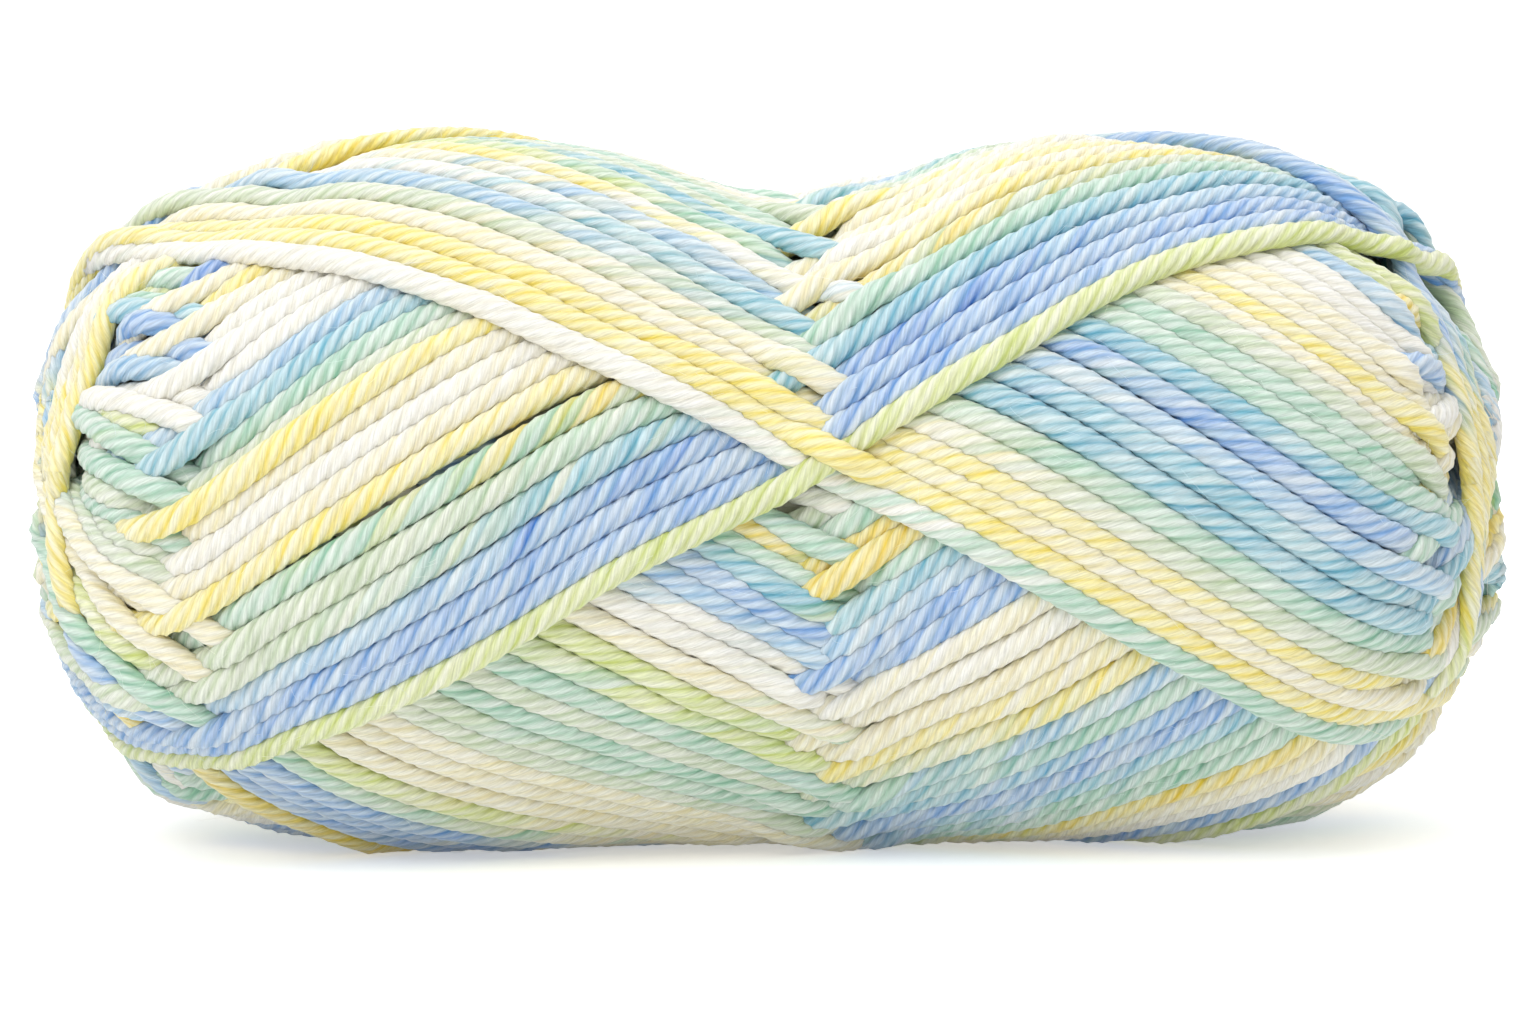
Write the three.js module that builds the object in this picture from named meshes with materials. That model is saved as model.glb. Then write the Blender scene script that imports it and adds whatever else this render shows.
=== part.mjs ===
import * as THREE from 'three';
import { mergeVertices } from 'three/addons/utils/BufferGeometryUtils.js';

// A small skein of variegated baby yarn, wound by machine round nothing and lying on its side.
// Millimetres, +Z up. X runs along the skein, the front faces -Y, and the skein rests on a narrow flat.
// The yarn runs from one end to the other in slanting passes, turns over each end in a chord past
// the dimple there, and comes back. Passes that climb to the right and passes that fall to the right
// take turns on top, so the bands meet in valleys at the middle, at both shoulders and at the dimples.

// Driving dimensions
const LENGTH = 130;
const MIDDLE_X = 3.5;
const SHOULDER_REACH = 54.5;
const FLAT_PRESS = 0.45;
const DIMPLE_DEPTH = 6.5;

// The winding, in degrees round the skein. Angle 0 is the front and grows downward.
const SECTOR = 120;
const NEWEST_ANGLE = -15;
const SHOULDER_TURN = 60;
const MOUTH_TURN = 120;
const NET_STEP = 3.75;
const BAND_STEP = 15;

// The relief of the wound bands
const BUILD_UP = 1.0;
const BAND_HEIGHT = 0.8;
const VALLEY_DEPTH = 0.5;

// Underneath, the skein's own weight presses the bands smooth between these turns from straight down.
const UNDERSIDE_ANGLE = 90;
const PRESSED_TURN = 8;
const PRESSED_END_TURN = 26;

// Sections across the skein, seen at the edges of the photo's outline: the place along the skein,
// the radius there and the height of the section's middle above the surface it rests on.
const SECTIONS = [
  { x: -63.8, radius: 12.0, height: 31.6 },
  { x: -62.2, radius: 17.0, height: 31.4 },
  { x: -59.2, radius: 22.1, height: 31.1 },
  { x: -56.7, radius: 24.9, height: 31.0 },
  { x: -53.0, radius: 27.0, height: 30.8 },
  { x: -47.9, radius: 28.8, height: 30.7 },
  { x: -41.7, radius: 30.3, height: 30.9 },
  { x: -32.8, radius: 31.7, height: 31.4 },
  { x: -24.0, radius: 32.0, height: 31.5 },
  { x: -14.1, radius: 31.1, height: 31.1 },
  { x: -6.1, radius: 29.9, height: 29.9 },
  { x: 2.5, radius: 28.9, height: 28.9 },
  { x: 10.0, radius: 29.7, height: 29.7 },
  { x: 18.0, radius: 31.0, height: 30.9 },
  { x: 25.0, radius: 31.5, height: 31.4 },
  { x: 32.0, radius: 31.3, height: 31.4 },
  { x: 40.0, radius: 30.7, height: 31.2 },
  { x: 47.4, radius: 29.6, height: 31.0 },
  { x: 51.0, radius: 28.4, height: 31.0 },
  { x: 55.3, radius: 25.7, height: 31.0 },
  { x: 58.0, radius: 23.0, height: 30.8 },
  { x: 61.4, radius: 18.0, height: 30.6 },
  { x: 63.6, radius: 12.2, height: 30.4 },
];

// The mouth of each end dimple, and the rings that close it: a share of the mouth's radius and of the depth.
const MOUTH_RADIUS = 10.5;
const BAND_END_RADIUS = 17;
const DIMPLE_RINGS = [
  { across: 0.72, down: 0.45 },
  { across: 0.36, down: 0.9 },
  { across: 0, down: 1 },
];

// Turns at which rings of points lie between a shoulder and the mouth of its dimple
const END_TURNS = [62.5, 65, 70, 75, 80, 85, 95, MOUTH_TURN];

const COLUMNS = 360 / NET_STEP;

function wrap(angle, period) {
  return ((angle % period) + period) % period;
}

// A smooth curve through one column of the section table, read at a place along the skein.
function columnCurve(name) {
  const points = SECTIONS.map((section) => new THREE.Vector2(section.x, section[name]));
  const curve = new THREE.SplineCurve(points);
  const samples = curve.getPoints(SECTIONS.length * 24);
  return (place) => {
    const x = THREE.MathUtils.clamp(place, samples[0].x, samples[samples.length - 1].x);
    const next = Math.max(1, samples.findIndex((sample) => sample.x >= x));
    const a = samples[next - 1];
    const b = samples[next];
    return THREE.MathUtils.lerp(a.y, b.y, (x - a.x) / (b.x - a.x));
  };
}

const radiusAt = columnCurve('radius');
const heightAt = columnCurve('height');

// The place on an end where the outline has a given radius, found by halving.
function endPlace(side, radius) {
  let inner = MIDDLE_X + side * SHOULDER_REACH * 0.8;
  let outer = side < 0 ? SECTIONS[0].x : SECTIONS[SECTIONS.length - 1].x;
  for (let step = 0; step < 40; step += 1) {
    const middle = (inner + outer) / 2;
    if (radiusAt(middle) > radius) inner = middle;
    else outer = middle;
  }
  return inner;
}

// Rings from the middle of the skein out over one end and down into its dimple. Each says how far
// the yarn has turned round the skein since the middle, and where the ring lies.
function ringsToEnd(side) {
  const rings = [];
  for (let turn = NET_STEP; turn <= SHOULDER_TURN; turn += NET_STEP) {
    const x = MIDDLE_X + (side * SHOULDER_REACH * turn) / SHOULDER_TURN;
    rings.push({ turn: side * turn, x, radius: radiusAt(x), height: heightAt(x) });
  }
  const shoulder = rings[rings.length - 1];
  const chord = Math.acos(MOUTH_RADIUS / shoulder.radius);
  const crest = side * (LENGTH / 2);
  for (const turn of END_TURNS) {
    const left = (MOUTH_TURN - turn) / (MOUTH_TURN - SHOULDER_TURN);
    const radius = MOUTH_RADIUS / Math.cos(chord * left);
    const edge = side < 0 ? SECTIONS[0] : SECTIONS[SECTIONS.length - 1];
    const rounding = 1 - (radius - MOUTH_RADIUS) / (edge.radius - MOUTH_RADIUS);
    const x = radius > edge.radius ? endPlace(side, radius) : edge.x + (crest - edge.x) * Math.sqrt(rounding);
    rings.push({ turn: side * turn, x, radius, height: heightAt(x) });
  }
  for (const ring of DIMPLE_RINGS) {
    const x = crest - side * DIMPLE_DEPTH * ring.down;
    rings.push({ turn: side * MOUTH_TURN, x, radius: MOUTH_RADIUS * ring.across, height: heightAt(crest) });
  }
  return rings;
}

function allRings() {
  const middle = { turn: 0, x: MIDDLE_X, radius: radiusAt(MIDDLE_X), height: heightAt(MIDDLE_X) };
  return [...ringsToEnd(-1).reverse(), middle, ...ringsToEnd(1)];
}

// How long ago the top strand of each kind was wound here, in degrees of winding: 0 is the newest.
function ages(turn, angle) {
  return {
    rising: wrap(NEWEST_ANGLE - angle - turn, SECTOR),
    falling: wrap(NEWEST_ANGLE - angle + turn, SECTOR),
  };
}

function risingOnTop(turn, angle) {
  const { rising, falling } = ages(turn, angle);
  return rising < falling;
}

// Height of the wound bands over the mean outline: the newest passes stand highest,
// each band of three strands is a ridge, and the kinds of pass meet in a valley.
function relief(turn, angle) {
  const { rising, falling } = ages(turn, angle);
  const buildUp = BUILD_UP * (1 - (rising + falling) / SECTOR);
  const age = Math.min(rising, falling);
  const ridge = BAND_HEIGHT * (Math.sin((Math.PI * (age + NET_STEP)) / BAND_STEP) ** 2 - 0.5);
  const valley = wrap(turn, SHOULDER_TURN) === 0 ? VALLEY_DEPTH : 0;
  return buildUp + ridge - valley;
}

// Outward direction of each ring along the outline: x to the end, y away from the axis.
function ringNormals(rings) {
  return rings.map((ring, index) => {
    const before = rings[Math.max(index - 1, 0)];
    const after = rings[Math.min(index + 1, rings.length - 1)];
    return new THREE.Vector2(before.radius - after.radius, after.x - before.x).normalize();
  });
}

// The relief fades out towards the mouth of each dimple, so that its edge and floor are smooth.
function dimpleFade(ring) {
  return THREE.MathUtils.smoothstep(ring.radius, MOUTH_RADIUS, BAND_END_RADIUS);
}

function pressedFade(angle) {
  const fromUnderside = Math.abs(wrap(angle, 360) - UNDERSIDE_ANGLE);
  return THREE.MathUtils.smoothstep(fromUnderside, PRESSED_TURN, PRESSED_END_TURN);
}

function placePoint(ring, normal, angle) {
  const lift = relief(ring.turn, angle) * dimpleFade(ring) * pressedFade(angle);
  const radius = ring.radius + normal.y * lift;
  const turn = THREE.MathUtils.degToRad(angle);
  const x = ring.x + normal.x * lift;
  const z = ring.height - radius * Math.sin(turn);
  return new THREE.Vector3(x, -radius * Math.cos(turn), Math.max(z - FLAT_PRESS, 0));
}

// A lathe makes the net of the body, and each of its points is then moved to its place on the winding.
// The diagonals of the net follow whichever passes lie on top.
function woundBody() {
  const rings = allRings();
  const normals = ringNormals(rings);
  const profile = rings.map((ring) => new THREE.Vector2(ring.radius, ring.x));
  const geometry = new THREE.LatheGeometry(profile, COLUMNS);
  const position = geometry.getAttribute('position');
  for (let column = 0; column <= COLUMNS; column += 1) {
    const angle = (column % COLUMNS) * NET_STEP;
    rings.forEach((ring, row) => {
      const point = placePoint(ring, normals[row], angle);
      position.setXYZ(column * rings.length + row, point.x, point.y, point.z);
    });
  }
  geometry.setIndex(netFaces(rings));
  geometry.deleteAttribute('normal');
  geometry.deleteAttribute('uv');
  const body = mergeVertices(geometry);
  body.computeVertexNormals();
  return centred(body);
}

function netFaces(rings) {
  const faces = [];
  for (let column = 0; column < COLUMNS; column += 1) {
    for (let row = 0; row < rings.length - 1; row += 1) {
      const a = column * rings.length + row;
      const b = a + rings.length;
      const middleTurn = (rings[row].turn + rings[row + 1].turn) / 2;
      const middleAngle = (column + 0.5) * NET_STEP;
      if (row === 0) faces.push(a, b + 1, a + 1);
      else if (row === rings.length - 2) faces.push(a, b, a + 1);
      else if (risingOnTop(middleTurn, middleAngle)) faces.push(a, b, a + 1, b, b + 1, a + 1);
      else faces.push(a, b, b + 1, a, b + 1, a + 1);
    }
  }
  return faces;
}

function centred(geometry) {
  geometry.computeBoundingBox();
  const middle = geometry.boundingBox.getCenter(new THREE.Vector3());
  return geometry.translate(-middle.x, -middle.y, 0);
}

function woundYarn() {
  const material = new THREE.MeshStandardMaterial({ color: 0xdfe8dc, roughness: 0.9, metalness: 0 });
  const mesh = new THREE.Mesh(woundBody(), material);
  mesh.name = 'wound_yarn';
  return mesh;
}

const group = new THREE.Group();
group.add(woundYarn());

export default group;
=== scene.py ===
# %% [markdown]
# Baby yarn, wound in a small skein
# The real thing is one length of soft plied yarn, dyed in pastel stretches and wound by machine
# round nothing. It crosses from end to end in slanting passes, turns over each end in a chord past
# a dimple, and comes back. A picture of strands on a plain body would be quicker, but the strands
# would not go over and under each other. So the script winds the yarn as the machine does, pass
# after pass, lets each pass lie on those before it, and models what shows as plied strands.

# %% Load the fixed frame
import math

import bmesh
import bpy
import numpy as np
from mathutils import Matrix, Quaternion, Vector


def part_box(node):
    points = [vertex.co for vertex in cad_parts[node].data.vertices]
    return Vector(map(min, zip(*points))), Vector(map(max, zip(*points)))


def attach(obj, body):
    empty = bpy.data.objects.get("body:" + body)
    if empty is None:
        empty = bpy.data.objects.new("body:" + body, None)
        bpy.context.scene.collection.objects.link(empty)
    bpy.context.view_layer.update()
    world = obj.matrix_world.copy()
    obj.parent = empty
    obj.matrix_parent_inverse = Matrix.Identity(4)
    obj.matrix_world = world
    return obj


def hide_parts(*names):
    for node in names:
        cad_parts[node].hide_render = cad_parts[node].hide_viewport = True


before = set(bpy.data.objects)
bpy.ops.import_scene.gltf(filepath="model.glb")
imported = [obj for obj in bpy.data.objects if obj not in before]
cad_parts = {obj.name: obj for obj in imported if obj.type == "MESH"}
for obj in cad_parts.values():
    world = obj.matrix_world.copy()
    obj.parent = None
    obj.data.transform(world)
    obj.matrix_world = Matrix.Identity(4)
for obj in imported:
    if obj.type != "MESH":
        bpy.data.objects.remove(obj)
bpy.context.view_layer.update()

MM = 0.001
WOUND_NODE = "wound_yarn"
cad_low, cad_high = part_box(WOUND_NODE)
rng = np.random.default_rng(11)
print("The skein measures", [round(side / MM, 1) for side in cad_high - cad_low], "mm")

# %% [markdown]
# The outline of the skein
# A wound skein is a body turned round a long axis, with a waist in the middle, two shoulders and a
# dimple in each end. Its sections are few, so they are given in a short table and joined by a smooth
# curve. The curve is then run on over the rounded ends down to the floors of the dimples, because the
# yarn lies there too. Everything about the winding is worked out in millimetres along this curve.

# %% Sections and the outline curve
# place along the skein, radius there, height of the section's middle over the floor
SECTIONS = [
    (-63.8, 12.0, 31.6), (-62.2, 17.0, 31.4), (-59.2, 22.1, 31.1), (-56.7, 24.9, 31.0),
    (-53.0, 27.0, 30.8), (-47.9, 28.8, 30.7), (-41.7, 30.3, 30.9), (-32.8, 31.7, 31.4),
    (-24.0, 32.0, 31.5), (-14.1, 31.1, 31.1), (-6.1, 29.9, 29.9), (2.5, 28.9, 28.9),
    (10.0, 29.7, 29.7), (18.0, 31.0, 30.9), (25.0, 31.5, 31.4), (32.0, 31.3, 31.4),
    (40.0, 30.7, 31.2), (47.4, 29.6, 31.0), (51.0, 28.4, 31.0), (55.3, 25.7, 31.0),
    (58.0, 23.0, 30.8), (61.4, 18.0, 30.6), (63.6, 12.2, 30.4),
]
LENGTH = 130.0
MOUTH_RADIUS = 10.5
DIMPLE_DEPTH = 6.5
FLAT_PRESS = 0.45
OUTLINE_STEP = 0.1
OUTLINE_SOFTNESS = 9
DIMPLE_POINTS, RIM_POINTS = 30, 12


def smooth_line(values, steps=24):
    """A Catmull-Rom curve through a row of values."""
    ends = np.concatenate([values[:1], values, values[-1:]])
    t = np.linspace(0, 1, steps, endpoint=False)[None, :]
    before, start, end, after = (ends[k:len(ends) - 3 + k, None] for k in range(4))
    leave, arrive = (end - before) / 2, (after - start) / 2
    curve = (2 * (start - end) + leave + arrive) * t**3
    curve = curve + (3 * (end - start) - 2 * leave - arrive) * t**2 + leave * t + start
    return np.append(curve.ravel(), values[-1])


def soften(values, reach, at_ends="edge"):
    """A row of values smoothed by a bell curve, whose reach is a number of samples."""
    half = int(3 * reach) + 1
    bell = np.exp(-0.5 * (np.arange(-half, half + 1) / reach) ** 2)
    if at_ends == "run on":
        padded = np.pad(values, half, mode="reflect", reflect_type="odd")
    else:
        padded = np.pad(values, half, mode=at_ends)
    return np.convolve(padded, bell / bell.sum(), mode="valid")


def end_cap(edge_x, edge_radius, side):
    """Places and radii from the axis at the dimple's floor out over the rim to the last section."""
    painted_light_share = side * LENGTH / 2
    dimple = np.linspace(0, MOUTH_RADIUS, DIMPLE_POINTS)
    rim = np.linspace(MOUTH_RADIUS, edge_radius, RIM_POINTS)[1:-1]
    floor_x = painted_light_share - side * DIMPLE_DEPTH * (1 - (dimple / MOUTH_RADIUS) ** 2)
    share = 1 - (rim - MOUTH_RADIUS) / (edge_radius - MOUTH_RADIUS)
    rim_x = edge_x + (painted_light_share - edge_x) * np.sqrt(share)
    return np.concatenate([floor_x, rim_x]), np.concatenate([dimple, rim])


section_x, section_radius, section_height = np.array(SECTIONS).T
body_x, body_radius = smooth_line(section_x), smooth_line(section_radius)
body_height = smooth_line(section_height)
left_x, left_radius = end_cap(body_x[0], body_radius[0], -1)
right_x, right_radius = end_cap(body_x[-1], body_radius[-1], 1)
line_x = np.concatenate([left_x, body_x, right_x[::-1]])
line_radius = np.concatenate([left_radius, body_radius, right_radius[::-1]])
line_place = np.concatenate([[0], np.cumsum(np.hypot(np.diff(line_x), np.diff(line_radius)))])
PLACES = np.arange(0, line_place[-1], OUTLINE_STEP)
OUT_X = soften(np.interp(PLACES, line_place, line_x), OUTLINE_SOFTNESS)
OUT_R = soften(np.interp(PLACES, line_place, line_radius), OUTLINE_SOFTNESS)
along_x, along_r = np.gradient(OUT_X), np.gradient(OUT_R)
along = np.hypot(along_x, along_r)
FACING_X, FACING_R = -along_r / along, along_x / along
print("Outline from dimple to dimple:", round(PLACES[-1], 1), "mm")

# %% [markdown]
# How far a pass turns
# Between the shoulders the yarn turns evenly, sixty degrees each way from the middle. Over an end a
# taut strand takes the shortest way: the nearer its chord passes to the axis, the later it turns.
# The rule for such a shortest way on a turned body (radius times the sine of the slant stays the
# same) is added up step by step, and scaled so that the yarn comes out in its next place.

# %% Turning
MIDDLE_X = 3.5
SHOULDER_REACH = 54.5
SHOULDER_TURN = 60.0
SECTOR = 120.0
CAP_SHARE = 0.15
JUST_OUTSIDE = 1.00001


def place_of_x(x):
    """The place along the outline curve over a place along the skein's body."""
    inner = (PLACES > PLACES[-1] * CAP_SHARE) & (PLACES < PLACES[-1] * (1 - CAP_SHARE))
    return np.interp(x, OUT_X[inner], PLACES[inner])


def place_of_radius(radius, side):
    """The place on an end where the outline comes in to a given radius."""
    half = len(PLACES) // 4
    if side < 0:
        return np.interp(radius, OUT_R[:half], PLACES[:half])
    return np.interp(radius, OUT_R[::-1][:half], PLACES[::-1][:half])


def over_the_end(side, closest, tip_turn, steps=200):
    """Places and turns from a shoulder over the end to where the chord passes closest to the axis."""
    shoulder = place_of_x(MIDDLE_X + side * SHOULDER_REACH)
    tip = place_of_radius(closest, side)
    w = np.linspace(1, 0, steps)
    place = tip - (tip - shoulder) * w**2
    radius = np.maximum(np.interp(place, PLACES, OUT_R), closest * JUST_OUTSIDE)
    rate = closest / (radius * np.sqrt(radius**2 - closest**2)) * w
    rate[-1] = rate[-2]
    gone = np.concatenate([[0], np.cumsum((rate[1:] + rate[:-1]) / 2)])
    return place, SHOULDER_TURN + (tip_turn - SHOULDER_TURN) * gone / gone[-1]


def turn_of_place():
    """The mean turn over each place of the outline, for the build-up of the older yarn."""
    x_turn = np.clip((OUT_X - MIDDLE_X) * SHOULDER_TURN / SHOULDER_REACH, -SHOULDER_TURN, SHOULDER_TURN)
    turn = np.where(PLACES < PLACES[-1] / 2, -2 * SHOULDER_TURN, 2 * SHOULDER_TURN)
    left, right = place_of_x(MIDDLE_X - SHOULDER_REACH), place_of_x(MIDDLE_X + SHOULDER_REACH)
    inner = (PLACES > left) & (PLACES < right)
    turn = np.where(inner, x_turn, turn)
    for side in (-1, 1):
        place, over = over_the_end(side, MOUTH_RADIUS, 2 * SHOULDER_TURN)
        order = np.argsort(place)
        on_end = (PLACES >= place.min()) & (PLACES <= place.max())
        turn[on_end] = side * np.interp(PLACES[on_end], place[order], over[order])
    return turn


MEAN_TURN = turn_of_place()

# %% [markdown]
# The passes of the winding
# The machine lays rising and falling passes by turns, and each lands a third of a turn on from the
# last. Six passes later the yarn is back at its first place, one strand's width short. So there are
# three bands of rising and three of falling strands, and every strand has its place in a band.
# Small shifts let the newest strands sag a little, as they do on the real skein, and here and there
# two neighbours change places. Over an end the newest chords pass far out and the oldest near the
# axis, where they close most of the dimple.

# %% Passes
STRANDS = 27
LAYERS = 2
PASSES_A_ROUND = 6
STRAND_STEP = SECTOR / STRANDS
NEWEST_ANGLE = -15.0
BAND_NAMES = {0: "front", 1: "under", 2: "back"}
RISING, FALLING = "rising", "falling"
PATH_STEP = 0.3
CORNER_SOFTNESS = 10
PATH_POINTS = 220
SHIFT_AGE = 30.0
OWN_SHIFT = 0.15
WAVER = 1.3
WAVER_RATE = 0.5
WAVER_START = {RISING: 0.4, FALLING: 5.6}
WAVER_BAND_STEP = 2.1
NEWEST_STRANDS = 3
NEWEST_CHORD = 16.8
CHORD_STEP = 2.2
CHORD_RATE = 0.9
CHORD_START = 1.3
OLD_CHORD = (9.2, 2.8)
DEEP_CHORD = (5.6, 3.4)
DEEP_STRAND = 17
LEAST_CHORD = 2.2
CHORD_SPREAD = 0.8
SWAPPED_SHARE = 0.3
WANDER = 1.25
WANDER_REACH = 60
QUIET_END = 10.0

# place along the skein, and how many degrees lower the newest and the older strands lie there
FALLING_SHIFT = [
    (-60.0, 9.0, 2.0), (-46.0, 12.0, 4.5), (-33.0, 11.5, 4.5), (-24.0, 9.0, 3.5), (-13.0, 6.0, 2.0),
    (-1.0, -1.0, 0.0), (6.0, 0.0, 0.0), (21.0, 2.5, 0.5), (38.0, 3.0, 0.5), (54.0, 8.0, 1.5),
    (60.0, 7.0, 2.0),
]
RISING_SHIFT = [
    (-60.0, 9.0, 2.0), (-52.0, 8.0, 2.0), (-42.0, 2.4, 0.5), (-23.0, 4.3, 1.0), (-6.0, 2.3, 0.0),
    (6.0, 1.0, 0.0), (12.0, 1.8, 0.5), (21.0, 5.6, 2.0), (34.0, 4.3, 2.5), (47.0, 6.9, 3.0),
    (60.0, 7.0, 2.0),
]
SHIFTS = {RISING: np.array(RISING_SHIFT).T, FALLING: np.array(FALLING_SHIFT).T}
print("Each of", STRANDS, "strands of a band lies", round(STRAND_STEP, 2), "degrees from the last")


# %% Order of the strands
def describe_pass(back):
    """Which strand of which band a pass is, counted back from the newest pass."""
    kind = FALLING if back % 2 == 0 else RISING
    band = (0, 2, 1)[back % 3]
    return {"back": back, "kind": kind, "band": band, "strand": back // PASSES_A_ROUND}


def swap_newest(passes):
    """The outermost falling strand of the front was laid a round before its neighbour."""
    front = [p for p in passes if p["kind"] == FALLING and p["band"] == 0]
    front[0]["strand"], front[1]["strand"] = front[1]["strand"], front[0]["strand"]


def swap_some(passes):
    """Here and there the yarn was laid on the far side of its neighbour."""
    for first in range(PASSES_A_ROUND):
        strand = NEWEST_STRANDS
        while strand < LAYERS * STRANDS - 1:
            swapped = rng.random() < SWAPPED_SHARE
            if swapped:
                one, other = (passes[s * PASSES_A_ROUND + first] for s in (strand, strand + 1))
                one["strand"], other["strand"] = other["strand"], one["strand"]
            strand += 2 if swapped else 1


def waver(one):
    """How far the strands of a band swing together to one side, in degrees."""
    start = WAVER_START[one["kind"]] + WAVER_BAND_STEP * one["band"]
    return WAVER * (math.sin(WAVER_RATE * one["strand"] + start) - math.sin(start))


passes = [describe_pass(back) for back in range(LAYERS * STRANDS * PASSES_A_ROUND)]
swap_newest(passes)
swap_some(passes)
for one in passes:
    own = rng.uniform(-OWN_SHIFT, OWN_SHIFT) if one["strand"] else 0.0
    one["angle"] = NEWEST_ANGLE + SECTOR * one["band"] - STRAND_STEP * one["strand"] + own + waver(one)
passes.reverse()

for one in passes:
    strand = one["strand"]
    outer = NEWEST_CHORD - CHORD_STEP * strand
    swing = math.sin(CHORD_RATE * strand + CHORD_START * one["band"])
    mean, spread = OLD_CHORD if strand < DEEP_STRAND else DEEP_CHORD
    inner = max(mean + spread * swing + rng.uniform(-CHORD_SPREAD, CHORD_SPREAD), LEAST_CHORD)
    one["closest_after"] = outer if strand < NEWEST_STRANDS else inner
print(len(passes), "passes in", len(BAND_NAMES), "bands of each kind")


# %% Paths
def tip_turn(earlier, later):
    """How far both passes turn to meet over an end."""
    return ((earlier["angle"] - later["angle"]) % 360) / 2


def shift_at(kind, place, age):
    """How many degrees a strand of some age sags at a place."""
    where, newest, older = SHIFTS[kind]
    x = np.interp(place, PLACES, OUT_X)
    low = np.interp(x, where, older)
    return low + (np.interp(x, where, newest) - low) * math.exp(-age / SHIFT_AGE)


def pass_path(number):
    """Places and angles of one pass in the order in which the yarn is laid, a fixed step apart."""
    one = passes[number]
    before = passes[number - 1] if number else one
    after = passes[number + 1] if number + 1 < len(passes) else one
    turn_before = tip_turn(before, one) if number else SECTOR
    turn_after = tip_turn(one, after) if after is not one else SECTOR
    if one["kind"] == RISING:
        left, right = (before["closest_after"], turn_before), (one["closest_after"], turn_after)
    else:
        left, right = (one["closest_after"], turn_after), (before["closest_after"], turn_before)
    left_place, left_turn = over_the_end(-1, *left)
    right_place, right_turn = over_the_end(1, *right)
    middle_x = MIDDLE_X + np.linspace(-SHOULDER_REACH, SHOULDER_REACH, PATH_POINTS)[1:-1]
    middle_turn = (middle_x - MIDDLE_X) * SHOULDER_TURN / SHOULDER_REACH
    place = np.concatenate([left_place[::-1], place_of_x(middle_x), right_place])
    turn = np.concatenate([-left_turn[::-1], middle_turn, right_turn])
    turned = -turn if one["kind"] == RISING else turn
    angle = one["angle"] + turned + shift_at(one["kind"], place, STRAND_STEP * one["strand"])
    if one["kind"] == FALLING:
        place, angle, turn = place[::-1], angle[::-1], turn[::-1]
    radius = np.interp(place, PLACES, OUT_R)
    steps = np.hypot(np.diff(place), np.radians(np.diff(angle)) * (radius[1:] + radius[:-1]) / 2)
    length = np.concatenate([[0], np.cumsum(steps)])
    gone = np.arange(0, length[-1], PATH_STEP)
    place = soften(np.interp(gone, length, place), CORNER_SOFTNESS, "reflect")
    angle = soften(np.interp(gone, length, angle), CORNER_SOFTNESS, "run on")
    turn = np.interp(gone, length, turn)
    radius = np.interp(place, PLACES, OUT_R)
    wander = soften(rng.normal(0, 1, len(gone)), WANDER_REACH) * WANDER
    quiet = np.clip(np.minimum(gone, gone[-1] - gone) / QUIET_END, 0, 1)
    angle = angle + np.degrees(wander * quiet / radius)
    return {"place": place, "angle": angle, "turn": turn, "gone": gone}


paths = [pass_path(number) for number in range(len(passes))]
yarn_length = sum(path["gone"][-1] for path in paths)
print("Yarn in the outer winding:", round(yarn_length * MM, 2), "m")

# %% [markdown]
# Laying the yarn down
# Each pass has to rest on whatever is below it. Cloth simulation of thirty metres of yarn would take
# far too long, so the script keeps a height map of the skein, like a net of cells over the outline.
# A pass reads the height under it, is drawn taut over the bumps, and then leaves its own round back
# in the map for the next pass. Each winding shows how high the yarn piles up at each place; the body
# under it is sunk by that much, and the yarn is wound again.

# %% Height map
CELL = 0.3
ANGLE_CELL = 0.5
CONTACT_RADIUS = 0.82
CONTACT_HALF_WIDTH = 1.04
CONTACT_POINTS = 19
HALF_SAMPLE = 0.5
LEAST_RADIUS = 2.0
TOUCHING = (-0.3, 0.0, 0.3)
END_SHARE = 0.36
END_TURN, END_FADE = 66.0, 14.0
WAIST_SHARE = 0.55
WAIST_TURN = 5.0
TAUT_ROUNDS = 6
TAUT_REACH = 4.0
SETTLE_REACH = 2.6
BUILD_UP = 1.0
DIMPLE_FADE = 6.5
UNDERSIDE, PRESSED_TURN, PRESSED_FADE = 90.0, 8.0, 18.0
FIRST_DEPTH = 3.5
OWN_START = 3.5
SLIPPED = 3
SLIPPED_ROUNDS = 5
CREST_ROOM = 0.35
LEVELLING_ROUNDS = 2
LEVEL_REACH = 9
LEVEL_REACH_ROUND = 12
rows = int(PLACES[-1] / CELL) + 2
columns = int(360 / ANGLE_CELL)
row_places = np.arange(rows) * CELL
row_radius = np.interp(row_places, PLACES, OUT_R)
print("Height map of", rows, "by", columns, "cells")


# %% What lies below, and how thick a strand lies
def older_yarn():
    """How the yarn below stands higher towards the newest strands of both kinds."""
    turn = np.interp(row_places, PLACES, MEAN_TURN)[:, None]
    angle = (np.arange(columns) * ANGLE_CELL)[None, :]
    rising = (NEWEST_ANGLE - angle - turn) % SECTOR
    falling = (NEWEST_ANGLE - angle + turn) % SECTOR
    ramp = BUILD_UP * (1 - (rising + falling) / SECTOR)
    fade = np.clip((row_radius - MOUTH_RADIUS) / DIMPLE_FADE, 0, 1)[:, None]
    pressed = np.clip((np.abs(angle - UNDERSIDE) - PRESSED_TURN) / PRESSED_FADE, 0, 1)
    return ramp * fade * pressed


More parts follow.
